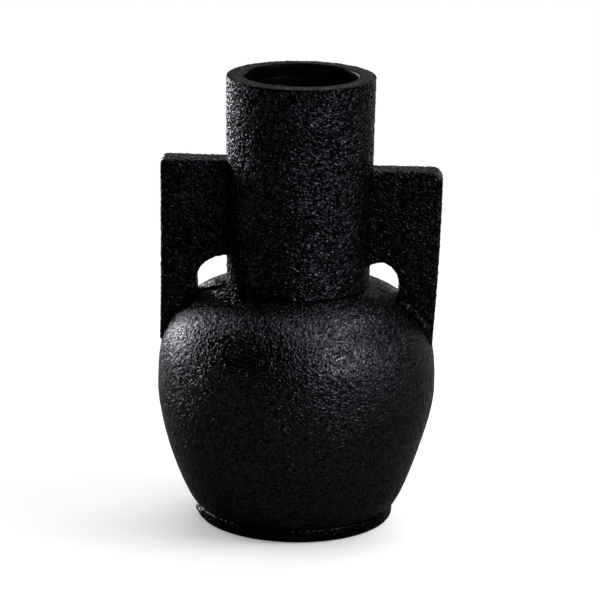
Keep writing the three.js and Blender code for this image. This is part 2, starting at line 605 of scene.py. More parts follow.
@dataclass
class Neck(TurnedPiece):
    """The thick cylinder luted to the shoulder, open at the top."""

    node: str = "neck"
    seat_radius: float = 51 * MM
    bore_radius: float = 40 * MM
    outer_rounding: float = 1.8 * MM
    inner_rounding: float = 2.2 * MM
    turns: int = 560
    spacing: float = 0.6 * MM
    quick_spacing: float = 2.0 * MM
    lip_spacing: float = 0.7 * MM
    bore_spacing: float = 1.2 * MM
    deep_spacing: float = 3 * MM
    seat_inset: float = 3 * MM
    seen_depth: float = 45 * MM
    bore_skin: float = 1.5 * MM
    ridge_start: float = 3 * MM
    ridge_fade: float = 4 * MM
    ridge_pitch: float = 5.2 * MM
    ridge_depth: float = 0.45 * MM
    streak_size: tuple[float, float, float] = (30 * MM, 30 * MM, 2.6 * MM)
    streak_share: float = 0.4
    streak_salt: int = 51
    lip_fade: float = 4 * MM
    rim_fade: float = 2.5 * MM
    rim_relief: float = 0.6
    crust: Crust = Crust(Weathering.GRAINED, 2.7 * MM, 1.0 * MM, 5)

    def rings(self) -> list[Ring]:
        """Lists the neck's levels from its seat up the outside and down the bore.

        Returns:
            The rings, with the first one again at the end.
        """
        fine = self.turns
        coarse = fine // 4
        rim, top, bottom = self.high.y, self.high.z, self.low.z
        bore, outer, inner = self.bore_radius, self.outer_rounding, self.inner_rounding
        spacing = self.spacing
        wall = evenly(np.array([[self.seat_radius, bottom], [rim, top - outer]]), spacing)
        lip = [
            arc((rim - outer, top - outer), outer, 0, 90),
            arc((bore + inner, top - inner), inner, 90, 180),
        ]
        lip = evenly(np.concatenate(lip), self.lip_spacing)
        deep = top - self.seen_depth
        step = self.deep_spacing
        seen = evenly(np.array([[bore, top - inner], [bore, deep]]), self.bore_spacing)
        below = evenly(np.array([[bore, deep - step], [bore, bottom]]), step)
        seat = self.seat_radius - self.seat_inset
        rings = [Ring(bore, bottom, coarse), Ring(seat, bottom, fine)]
        rings += [Ring(r, z, fine) for r, z in np.concatenate([wall, lip[1:], seen[1:]])]
        rings += [Ring(r, z, coarse) for r, z in below[:-1]]
        return rings + [rings[0]]

    def throw_ridges(self, piece: bpy.types.Object) -> np.ndarray:
        """Presses the spiral of the potter's fingers into the bore.

        Args:
            piece: The neck's mesh object.

        Returns:
            How far each point lies inside the bore, from 0 to 1.
        """
        places = places_of(piece)
        height = places[:, 2]
        radius = np.hypot(places[:, 0], places[:, 1])
        angle = np.arctan2(places[:, 1], places[:, 0]) / (2 * math.pi)
        inside = np.clip((self.bore_radius + self.bore_skin - radius) / self.bore_skin, 0, 1)
        inside *= np.clip((self.high.z - self.ridge_start - height) / self.ridge_fade, 0, 1)
        wave = 0.5 - 0.5 * np.cos(2 * math.pi * (height / self.ridge_pitch + angle))
        grow = 1 + inside * wave * self.ridge_depth / np.maximum(radius, 1e-6)
        places[:, 0] *= grow
        places[:, 1] *= grow
        move_points(piece, places)
        return inside

    def build(self) -> bpy.types.Object:
        """Turns the neck, ridges its bore, streaks it and roughens the outside and the rim.

        Returns:
            The finished mesh object.
        """
        piece = weld(spin("vase_neck", self.rings()))
        inside = self.throw_ridges(piece)
        places = places_of(piece)
        radius = np.hypot(places[:, 0], places[:, 1])
        where = np.clip((radius - self.bore_radius - self.bore_skin) / self.lip_fade, 0, 1)
        where *= np.clip((self.high.z - places[:, 2]) / self.rim_fade, self.rim_relief, 1)
        streaks = drift(places / np.array(self.streak_size), self.streak_salt)[:, 0]
        roughen(piece, self.crust, where, PLAIN_LEVEL + self.streak_share * inside * streaks)
        return piece


@dataclass(frozen=True)
class ClayBead(ClayPiece):
    """A string of clay pressed out of a joint, given by places and its thickness, in metres."""

    name: str
    path: list[tuple[float, float, float, float]]
    salt: int
    lumps: float = 0.5
    flatness: float = 1.0
    turns: int = 16
    spacing: float = 0.5 * MM
    quick_spacing: float = 1.2 * MM
    taper: int = 6
    tip: float = 0.004
    lump_size: float = 4.5 * MM
    wander_size: float = 6 * MM
    crust: Crust = Crust(Weathering.GRAINED, 2.2 * MM, 0.5 * MM, 15)

    def skin(self, line: np.ndarray) -> np.ndarray:
        """Lays the string's points round its line.

        Args:
            line: Places and thickness along the string.

        Returns:
            As many rows as turns, one after the other, for each row of the line.
        """
        centres = line[:, :3]
        share = np.linspace(-1, 1, len(line))
        swell = 1 + self.lumps * drift(centres / self.lump_size, self.salt)[:, 0]
        reach = 0.5 * line[:, 3] * swell * np.sqrt(np.clip(1 - share**self.taper, self.tip, 1))
        wander = drift(centres / self.wander_size, self.salt + 1)
        centres = centres + 0.5 * self.lumps * MM * wander
        along = directions(centres)
        side = np.cross(along, [0.0, 0.0, 1.0])
        side /= np.linalg.norm(side, axis=1)[:, None]
        above = np.cross(side, along) * self.flatness
        angles = (2 * math.pi * np.arange(self.turns) / self.turns)[None, :, None]
        spokes = side[:, None] * np.cos(angles) + above[:, None] * np.sin(angles)
        return (centres[:, None] + spokes * reach[:, None, None]).reshape(-1, 3)

    def build(self) -> bpy.types.Object:
        """Draws the string out along its path, with lumps, and closes both ends.

        Returns:
            The finished mesh object.
        """
        spacing = self.spacing
        line = evenly(np.array(self.path), spacing)
        skin = self.skin(line)
        turns = self.turns
        faces = []
        for i, j in itertools.product(range(len(line) - 1), range(turns)):
            here, there = i * turns + j, i * turns + (j + 1) % turns
            faces.append([here, here + turns, there + turns, there])
        last = (len(line) - 1) * turns
        faces += [list(range(turns)), [last + j for j in reversed(range(turns))]]
        mesh = bpy.data.meshes.new(self.name)
        mesh.from_pydata(skin.tolist(), [], faces)
        mesh.update()
        piece = add_object("vase_" + self.name, mesh)
        roughen(piece, self.crust, np.ones(len(skin)))
        return piece


@dataclass
class FootRing(TurnedPiece):
    """The low coil that the vase stands on."""

    node: str = "foot_ring"
    width: float = 14 * MM
    base_rounding: float = 5 * MM
    edge: float = 1.6 * MM
    under_edge: float = 6 * MM
    top_edge: float = 3 * MM
    turns: int = 480
    spacing: float = 0.8 * MM
    crust_depth: float = 4 * MM
    crust_fade: float = 2 * MM
    base_fade: float = 1.5 * MM
    crust: Crust = Crust(Weathering.PITTED, 2.6 * MM, 0.9 * MM, 9)
    smear_crust: Crust = Crust(Weathering.GRAINED, 2.2 * MM, 0.8 * MM, 33)
    smear_angles: tuple[float, float] = (4.0, 34.0)
    smear_heights: tuple[float, ...] = (5, 6, 7, 6, 6.5, 5, 4.5)
    smear_thickness: float = 4.6 * MM
    smear_inset: float = 1.2 * MM

    def rings(self) -> list[Ring]:
        """Lists the foot's levels from the inner edge of its underside all the way round.

        Returns:
            The rings, with the first one again at the end.
        """
        fine = self.turns
        coarse = fine // 4
        bottom, top = self.low.z, self.high.z
        radius, inner = self.high.y, self.high.y - self.width
        edge, base = self.edge, self.base_rounding
        side = [
            arc((radius - base, bottom + base), base, -90, 0),
            arc((radius - edge, top - edge), edge, 0, 90),
        ]
        rings = [Ring(inner + edge, bottom, coarse), Ring(radius - self.under_edge, bottom, fine)]
        rings += [Ring(r, z, fine) for r, z in evenly(np.concatenate(side), self.spacing)]
        rings += [Ring(radius - self.top_edge, top, fine), Ring(inner, top, coarse)]
        return rings + [Ring(inner, bottom + edge, coarse), rings[0]]

    def build(self) -> bpy.types.Object:
        """Turns the foot ring and roughens its outside.

        Returns:
            The finished mesh object.
        """
        piece = weld(spin("vase_foot_ring", self.rings()))
        places = places_of(piece)
        reach = np.hypot(places[:, 0], places[:, 1])
        where = np.clip((reach - self.high.y + self.crust_depth) / self.crust_fade, 0, 1)
        where *= np.clip((places[:, 2] - self.low.z) / self.base_fade, 0, 1)
        roughen(piece, self.crust, where)
        return piece

    def smear(self) -> ClayBead:
        """Lays out the rough clay smeared over the foot at its left, where it was pinched on.

        Returns:
            The smear.
        """
        path = []
        angles = np.radians(np.linspace(*self.smear_angles, len(self.smear_heights)))
        reach = self.high.y - self.smear_inset
        for angle, height in zip(angles, self.smear_heights):
            across = (-reach * math.cos(angle), -reach * math.sin(angle))
            path.append((*across, height * MM, self.smear_thickness))
        return ClayBead("foot_smear", path, 31, 0.5, 1.3, crust=self.smear_crust)


@dataclass
class HandleSlab(ClayPiece):
    """One slab handle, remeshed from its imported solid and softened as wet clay."""

    solid: bpy.types.Object
    belly: Belly
    neck: Neck
    crust: Crust = Crust(Weathering.GRAINED, 2.5 * MM, 0.9 * MM, 7)
    voxel: float = 0.62 * MM
    quick_voxel: float = 1.5 * MM
    touch: float = 0.6 * MM
    press_in: float = 1.6 * MM
    soft_rounds: int = 6
    soft_share: float = 0.5
    seam_reach: float = 0.002 * MM

    def press_into_body(self, piece: bpy.types.Object) -> None:
        """Moves the scribed faces a little into the neck and shoulder, so that no crack shows.

        Args:
            piece: The slab's mesh object.
        """
        places = places_of(piece)
        low, high = self.neck.low.z, self.neck.high.z
        seat = self.neck.seat_radius
        reach = np.hypot(places[:, 0], places[:, 1])
        out = places[:, :2] / np.maximum(reach, 1e-9)[:, None]
        neck = seat + (self.neck.high.y - seat) * ((places[:, 2] - low) / (high - low))
        on_neck = (np.abs(reach - neck) < self.touch) & (places[:, 2] > low)
        line = self.belly.outline()
        along = directions(line)
        flat = np.stack([reach, places[:, 2]], axis=1)
        gaps = np.linalg.norm(flat[:, None, :] - line[None, :, :], axis=2)
        nearest = gaps.argmin(axis=1)
        on_belly = gaps.min(axis=1) < self.touch
        out_r = along[nearest, 1]
        out_z = -along[nearest, 0]
        places[on_neck, :2] -= out[on_neck] * self.press_in
        places[on_belly, :2] -= out[on_belly] * (out_r[on_belly] * self.press_in)[:, None]
        places[on_belly, 2] -= out_z[on_belly] * self.press_in
        move_points(piece, places)

    def build(self) -> bpy.types.Object:
        """Remeshes, softens and roughens the slab.

        Returns:
            The finished mesh object.
        """
        piece = add_object("vase_" + self.solid.name, self.solid.data.copy())
        weld(piece, self.seam_reach)
        self.press_into_body(piece)
        remesh = piece.modifiers.new("remesh", "REMESH")
        remesh.mode = "VOXEL"
        remesh.voxel_size = self.voxel
        soften = piece.modifiers.new("soften", "SMOOTH")
        soften.factor = self.soft_share
        soften.iterations = self.soft_rounds
        apply_modifiers(piece)
        roughen(piece, self.crust, np.ones(len(piece.data.vertices)))
        return piece


@dataclass(frozen=True)
class Seam:
    """The clay along one face of one handle. Thicknesses, lift and reaches are in millimetres."""

    name: str
    side: int
    face: int
    inner: float
    outer: float
    lumps: float
    salt: int
    lift: float = 0.0
    flatness: float = 0.65
    nearest: float = 71.0
    farthest: float = 96.0


@dataclass(frozen=True)
class Strap:
    """Clay smeared over the shoulder inside an arch.

    Each place is X, Y, the height above the shoulder and the thickness, in millimetres.
    """

    name: str
    places: tuple[tuple[float, float, float, float], ...]
    flatness: float
    salt: int


SEAMS = (
    Seam("luting_left_front", -1, -1, 4.5, 3.0, 0.9, 21),
    Seam("luting_left_back", -1, 1, 6.0, 4.0, 0.7, 22),
    Seam("luting_right_front", 1, -1, 10.0, 13.0, 0.4, 23, 4.0, 0.85, farthest=92.5),
    Seam("luting_right_back", 1, 1, 7.0, 5.0, 0.5, 24),
)
STRAPS = (
    Strap(
        "luting_left_arch",
        ((-75, -3, -0.4, 11), (-66, -3, 0.2, 14), (-58, -3, 1.2, 14), (-50, -2, 1.8, 12)),
        0.2,
        25,
    ),
    Strap(
        "luting_left_arch_low",
        ((-69, -7, -0.3, 5), (-63, -8, 0.3, 6), (-57, -10, 0.8, 6), (-50, -11, 1.0, 6)),
        0.4,
        26,
    ),
    Strap(
        "luting_right_arch",
        ((50, -3, -0.6, 6), (58, -4, -0.4, 7), (64, -4, -0.5, 6), (70, -3, -0.9, 5)),
        0.35,
        27,
    ),
)


@dataclass(frozen=True)
class JointClay:
    """The clay that was pressed out where the handles sit on the shoulder."""

    belly: Belly
    half_thickness: float
    lift_run: float = 25.0
    strap_lumps: float = 0.2
    steps: int = 8
    sunk_sideways: float = 0.05
    sunk_down: float = 0.15

    def seam(self, seam: Seam) -> ClayBead:
        """Lays a seam along the shoulder, just outside a handle's face.

        Args:
            seam: Which seam, and its sizes.

        Returns:
            The string of clay.
        """
        path = []
        reaches = np.linspace(seam.nearest, seam.farthest, self.steps)
        for x, thick in zip(reaches, np.linspace(seam.inner, seam.outer, self.steps) * MM):
            y = self.half_thickness - self.sunk_sideways * thick
            height = self.belly.shoulder(math.hypot(x * MM, y))
            height += seam.lift * MM * ((x - seam.nearest) / self.lift_run) ** 2
            height -= self.sunk_down * thick
            path.append((seam.side * x * MM, seam.face * y, height, thick))
        return ClayBead(seam.name, path, seam.salt, seam.lumps, seam.flatness)

    def strap(self, strap: Strap) -> ClayBead:
        """Lays a strap over the shoulder.

        Args:
            strap: Which strap, and its places.

        Returns:
            The string of clay.
        """
        path = []
        for x, y, lift, thick in strap.places:
            z = self.belly.shoulder(math.hypot(x, y) * MM) + lift * MM
            path.append((x * MM, y * MM, z, thick * MM))
        return ClayBead(strap.name, path, strap.salt, self.strap_lumps, strap.flatness)

    def beads(self) -> list[ClayBead]:
        """All strings of clay, the seams first."""
        return [self.seam(seam) for seam in SEAMS] + [self.strap(strap) for strap in STRAPS]


class NodeCanvas:
    """Adds shader nodes to a tree with short calls."""

    def __init__(self, tree: bpy.types.NodeTree) -> None:
        """Starts on an empty tree."""
        self.tree = tree
        self.tree.nodes.clear()

    def add(self, kind: str, **settings: object) -> bpy.types.Node:
        """Adds a node.

        Args:
            kind: The node's type name.
            **settings: Properties to set on it.

        Returns:
            The node.
        """
        node = self.tree.nodes.new(kind)
        for key, value in settings.items():
            setattr(node, key, value)
        return node

    def put(self, socket: bpy.types.NodeSocket, value: object) -> None:
        """Links a socket to another, or sets it to a plain value.

        Args:
            socket: The input to fill.
            value: The output to link, or the value.
        """
        if isinstance(value, bpy.types.NodeSocket):
            self.tree.links.new(value, socket)
        else:
            socket.default_value = value

    def feed(self, node: bpy.types.Node, **values: object) -> None:
        """Sets or links inputs by name, with underscores for spaces.

        Args:
            node: The node whose inputs are fed.
            **values: A socket to link, or a plain value to set.
        """
        for key, value in values.items():
            self.put(node.inputs[key.replace("_", " ")], value)

    def math(self, operation: str, *values: object) -> bpy.types.NodeSocket:
        """Adds a math node.

        Args:
            operation: What it does.
            *values: Its inputs, as sockets or numbers.

        Returns:
            Its result.
        """
        node = self.add("ShaderNodeMath", operation=operation)
        for socket, value in zip(node.inputs, values):
            self.put(socket, value)
        return node.outputs[0]

    def ramp(self, value: bpy.types.NodeSocket, low: float, high: float) -> bpy.types.NodeSocket:
        """Stretches a value so that low becomes 0 and high becomes 1, with the ends held.

        Args:
            value: The value to stretch.
            low: What becomes 0.
            high: What becomes 1.

        Returns:
            The stretched value.
        """
        node = self.add("ShaderNodeMapRange", interpolation_type="SMOOTHSTEP")
        self.feed(node, Value=value, From_Min=low, From_Max=high)
        return node.outputs["Result"]

    def blend(self, share: object, first: object, second: object) -> bpy.types.NodeSocket:
        """Mixes two colours.

        Args:
            share: How much of the second there is.
            first: The colour where the share is 0.
            second: The colour where the share is 1.

        Returns:
            The mixed colour.
        """
        node = self.add("ShaderNodeMix", data_type="RGBA")
        inputs = {socket.identifier: socket for socket in node.inputs}
        self.put(inputs["Factor_Float"], share)
        self.put(inputs["A_Color"], first)
        self.put(inputs["B_Color"], second)
        return next(s for s in node.outputs if s.identifier == "Result_Color")

    def part_of(self, colour: bpy.types.NodeSocket, part: int) -> bpy.types.NodeSocket:
        """Takes one of a colour's three parts.

        Args:
            colour: The colour.
            part: Which part, from 0 to 2.

        Returns:
            That part.
        """
        split = self.add("ShaderNodeSeparateColor")
        self.put(split.inputs[0], colour)
        return split.outputs[part]


class GroupCanvas(NodeCanvas):
    """Adds shader nodes to a new group with named inputs and outputs."""

    def __init__(self, name: str, inputs: dict[str, tuple], outputs: dict[str, str]) -> None:
        """Starts a group with its two ends in place.

        Args:
            name: The group's name.
            inputs: Each input's socket type and default value.
            outputs: Each output's socket type.
        """
        super().__init__(bpy.data.node_groups.new(name, "ShaderNodeTree"))
        face = self.tree.interface
        for label, (kind, value) in inputs.items():
            socket = face.new_socket(name=label, in_out="INPUT", socket_type=kind)
            if value is not None:
                socket.default_value = value
        for label, kind in outputs.items():
            face.new_socket(name=label, in_out="OUTPUT", socket_type=kind)
        self.start = self.add("NodeGroupInput").outputs
        self.end = self.add("NodeGroupOutput")


def relief_group() -> bpy.types.NodeTree:
    """Builds the shared relief of the dried slip: grains, worm-like ridges, pits and a fine tooth.

    The coordinates are squeezed along the axis, so that grains lie flat or stand up.

    Returns:
        The node group, with Height, Crest and Pits outputs.
    """
    canvas = GroupCanvas(
        "slip_relief",
        {
            "Coordinates": ("NodeSocketVector", None),
            "Cover": ("NodeSocketFloat", 1.0),
            "Grain Scale": ("NodeSocketFloat", 500.0),
            "Squeeze": ("NodeSocketFloat", 1.0),
            "Grains": ("NodeSocketFloat", 0.6),
            "Ridges": ("NodeSocketFloat", 0.4),
            "Pitting": ("NodeSocketFloat", 0.0),
        },
        {"Height": "NodeSocketFloat", "Crest": "NodeSocketFloat", "Pits": "NodeSocketFloat"},
    )
    start, scale = canvas.start, canvas.start["Grain Scale"]
    parts = canvas.add("ShaderNodeSeparateXYZ")
    canvas.put(parts.inputs[0], start["Coordinates"])
    bent = canvas.add("ShaderNodeCombineXYZ")
    squeezed = canvas.math("MULTIPLY", parts.outputs["Z"], start["Squeeze"])
    canvas.feed(bent, X=parts.outputs["X"], Y=parts.outputs["Y"], Z=squeezed)
    bent = bent.outputs[0]
    sway = canvas.add("ShaderNodeTexNoise")
    canvas.feed(sway, Vector=bent, Scale=canvas.math("MULTIPLY", scale, 0.4), Detail=1.0)
    push = canvas.add("ShaderNodeVectorMath", operation="MULTIPLY_ADD")
    for socket, value in zip(push.inputs, (sway.outputs["Color"], (1.6 * MM,) * 3, bent)):
        canvas.put(socket, value)
    grains = canvas.add("ShaderNodeTexVoronoi", feature="F1")
    canvas.feed(grains, Vector=push.outputs[0], Scale=scale)
    dome = canvas.ramp(grains.outputs["Distance"], 0.62, 0.08)
    tall = canvas.math("MULTIPLY_ADD", canvas.part_of(grains.outputs["Color"], 0), 0.7, 0.3)
    worms = canvas.add("ShaderNodeTexNoise")
    close = canvas.math("MULTIPLY", scale, 0.95)
    canvas.feed(worms, Vector=bent, Scale=close, Detail=1.5, Roughness=0.5)
    off = canvas.math("ABSOLUTE", canvas.math("SUBTRACT", worms.outputs["Fac"], 0.5))
    ridge = canvas.ramp(off, 0.2, 0.0)
    holes = canvas.add("ShaderNodeTexVoronoi", feature="F1")
    canvas.feed(holes, Vector=push.outputs[0], Scale=canvas.math("MULTIPLY", scale, 0.72))
    some = canvas.ramp(canvas.part_of(holes.outputs["Color"], 1), 0.45, 0.6)
    pit = canvas.math("MULTIPLY", canvas.ramp(holes.outputs["Distance"], 0.34, 0.12), some)
    tooth = canvas.add("ShaderNodeTexNoise")
    canvas.feed(tooth, Vector=bent, Scale=canvas.math("MULTIPLY", scale, 2.2), Detail=0.0)
    height = canvas.math("MULTIPLY", canvas.math("MULTIPLY", dome, tall), start["Grains"])
    height = canvas.math("MULTIPLY_ADD", ridge, start["Ridges"], height)
    height = canvas.math("MULTIPLY_ADD", tooth.outputs["Fac"], 0.05, height)
    sunk = canvas.math("MULTIPLY", pit, start["Pitting"])
    height = canvas.math("MULTIPLY", canvas.math("SUBTRACT", height, sunk), start["Cover"])
    canvas.feed(canvas.end, Height=height, Crest=canvas.ramp(height, 0.25, 0.75), Pits=sunk)
    return canvas.tree


def tone_group() -> bpy.types.NodeTree:
    """Builds the shared colouring of the slip by its relief: crests glinting with the slip's own
    lustre, valleys and pits darkened as painted shade.

    Returns:
        The node group, with Colour, Roughness and Lustre outputs.
    """
    canvas = GroupCanvas(
        "slip_tone",
        {
            "Level": ("NodeSocketFloat", 0.5),
            "Crest": ("NodeSocketFloat", 0.5),
            "Pits": ("NodeSocketFloat", 0.0),
            # The valley colour is painted shade: the hollows of the relief are darkened towards black.
            "Valley Colour": ("NodeSocketColor", (0.0006, 0.0006, 0.0007, 1)),
            "Crest Colour": ("NodeSocketColor", (0.036, 0.036, 0.04, 1)),
            "Crest Roughness": ("NodeSocketFloat", 0.14),
            "Valley Roughness": ("NodeSocketFloat", 0.35),
            "Least": ("NodeSocketFloat", 0.0),
        },
        {"Colour": "NodeSocketColor", "Roughness": "NodeSocketFloat", "Lustre": "NodeSocketFloat"},
    )
    start, rough_valley = canvas.start, canvas.start["Valley Roughness"]
    # The share of crest colour falls in low relief and in pits, so the hollows take the valley colour
    # as painted shade.
    half = canvas.math("MULTIPLY", start["Crest"], 0.5)
    high = canvas.math("MULTIPLY_ADD", start["Level"], 0.5, half)
    high = canvas.math("MAXIMUM", canvas.math("SUBTRACT", high, start["Pits"]), 0.0)
    high = canvas.math("MAXIMUM", canvas.ramp(high, 0.2, 0.75), start["Least"])
    span = canvas.math("SUBTRACT", start["Crest Roughness"], rough_valley)
    canvas.feed(
        canvas.end,
        Colour=canvas.blend(high, start["Valley Colour"], start["Crest Colour"]),
        Roughness=canvas.math("MULTIPLY_ADD", high, span, rough_valley),
        Lustre=canvas.ramp(high, 0.0, 0.15),
    )
    return canvas.tree


@dataclass(frozen=True)
class SlipFinish:
    """One finish of the black iron slip, whose crests have the lustre of gunmetal and whose valleys
    are darkened as painted shade.
    """

    name: str
    valley_shade: tuple[float, float, float]
    crest: tuple[float, float, float]
    crest_roughness: float = 0.14
    valley_roughness: float = 0.35
    sheen: float = 0.01
    edge: float = 0.65
    grain_scale: float = 400.0
    squeeze: float = 1.25
    grains: float = 0.5
    ridges: float = 0.5
    pitting: float = 0.0
    least: float = 0.0
    bump: float = 0.7 * MM

    def material(self, relief: bpy.types.NodeTree, tone: bpy.types.NodeTree) -> bpy.types.Material:
        """Builds the material.

        Args:
            relief: The shared relief group.
            tone: The shared colouring group.

        Returns:
            The material.
        """
        material = bpy.data.materials.new(self.name)
        material.use_nodes = True
        canvas = NodeCanvas(material.node_tree)
        place = canvas.add("ShaderNodeTexCoord")
        cover = canvas.add("ShaderNodeAttribute", attribute_name=COVER)
        surface = canvas.add("ShaderNodeGroup", node_tree=relief)
        canvas.feed(
            surface,
            Coordinates=place.outputs["Object"],
            Cover=cover.outputs["Fac"],
            Grain_Scale=self.grain_scale,
            Squeeze=self.squeeze,
            Grains=self.grains,
            Ridges=self.ridges,
            Pitting=self.pitting,
        )
        level = canvas.add("ShaderNodeAttribute", attribute_name=CREST)
        tint = canvas.add("ShaderNodeGroup", node_tree=tone)
        canvas.feed(
            tint,
            Level=level.outputs["Fac"],
            Crest=surface.outputs["Crest"],
            Pits=surface.outputs["Pits"],
            Valley_Colour=(*self.valley_shade, 1),
            Crest_Colour=(*self.crest, 1),
            Crest_Roughness=self.crest_roughness,
            Valley_Roughness=self.valley_roughness,
            Least=self.least,
        )
        bump = canvas.add("ShaderNodeBump")
        canvas.feed(bump, Height=surface.outputs["Height"], Strength=1.0, Distance=self.bump)
        shader = canvas.add("ShaderNodeBsdfPrincipled")
        canvas.feed(
            shader,
            Base_Color=tint.outputs["Colour"],
            Roughness=tint.outputs["Roughness"],
            Metallic=tint.outputs["Lustre"],
            Specular_IOR_Level=self.sheen,
            Specular_Tint=(self.edge, self.edge, self.edge, 1),
            Normal=bump.outputs["Normal"],
        )
        out = canvas.add("ShaderNodeOutputMaterial")
        canvas.feed(out, Surface=shader.outputs["BSDF"])
        return material


# In every finish the valley colour is painted shade in the hollows of the relief, and the crest colour
# is the slip's own lustre.
BELLY_SLIP = SlipFinish(
    name="belly_slip",
    valley_shade=(0.0006, 0.0006, 0.0007),
    crest=(0.036, 0.034, 0.041),
    grain_scale=430.0,
    squeeze=1.0,
    grains=0.25,
    ridges=0.5,
    pitting=0.4,
    crest_roughness=0.12,
    valley_roughness=0.25,
    least=0.12,
    bump=0.64 * MM,
)
NECK_SLIP = SlipFinish(
    name="neck_slip",
    valley_shade=(0.0005, 0.0005, 0.0006),
    crest=(0.037, 0.0365, 0.047),
    grain_scale=350.0,
    bump=0.9 * MM,
)
# The handles' crests are darker than the neck's: painted shade on the handle faces, which makes this a
# shaded copy of the neck's slip.
SHADED_HANDLE_SLIP = SlipFinish(
    name="handle_slip",
    valley_shade=(0.0004, 0.0004, 0.0005),
    crest=(0.022, 0.022, 0.029),
)
# The foot's crests are far darker than the belly's: painted shade under the belly's overhang.
SHADED_FOOT_SLIP = SlipFinish(
    name="shaded_foot_slip",
    valley_shade=(0.0005, 0.0005, 0.0006),
    crest=(0.009, 0.0085, 0.01),
    bump=0.4 * MM,
)


def direction(azimuth: float, elevation: float) -> Vector:
    """The way out from the vase, at an azimuth from the camera's side towards +X and an elevation.

    Args:
        azimuth: Degrees round from -Y towards +X.
        elevation: Degrees above the floor.

    Returns:
        A vector one metre long.
    """
    turn, up = math.radians(azimuth), math.radians(elevation)
    across = math.cos(up)
    return Vector((math.sin(turn) * across, -math.cos(turn) * across, math.sin(up)))


@dataclass(frozen=True)
class SoftBox:
    """A square soft lamp that faces the vase, in degrees, metres and watts."""

    name: str
    azimuth: float
    elevation: float
    size: float
    power: float
    distance: float = 2.0


VASE_LIGHTS = (
    SoftBox("low_left", -120, 5, 0.6, 31.0),
    SoftBox("low_left_behind", -150, 5, 0.6, 30.0),
    SoftBox("key_left_behind", -135, 20, 0.6, 22.0),
    SoftBox("left_high", -120, 45, 0.6, 6.0),
    SoftBox("soft_front_right", 40, 28, 0.9, 15.0),
    SoftBox("low_front_right", 45, 20, 0.6, 12.0),
    SoftBox("soft_right", 80, 20, 0.6, 5.5),
    SoftBox("high_right", 60, 60, 0.6, 8.0),
    SoftBox("high_right_behind", 120, 60, 0.6, 11.0),
    SoftBox("low_right_behind", 150, 16, 0.6, 5.0),
    SoftBox("behind", 180, 35, 0.6, 6.0),
    SoftBox("overhead", 60, 82, 0.9, 7.0),
)
FLOOR_LIGHTS = (
    SoftBox("floor_right", 90, 15, 1.2, 34.6),
    SoftBox("floor_right_high", 75, 30, 1.2, 16.1),
    SoftBox("floor_right_behind", 145, 15, 1.2, 27.9),
    SoftBox("floor_behind", 180, 15, 1.2, 24.5),
    SoftBox("floor_left", -90, 50, 1.6, 16.6),
    SoftBox("floor_overhead", 0, 88, 1.6, 11.5),
)


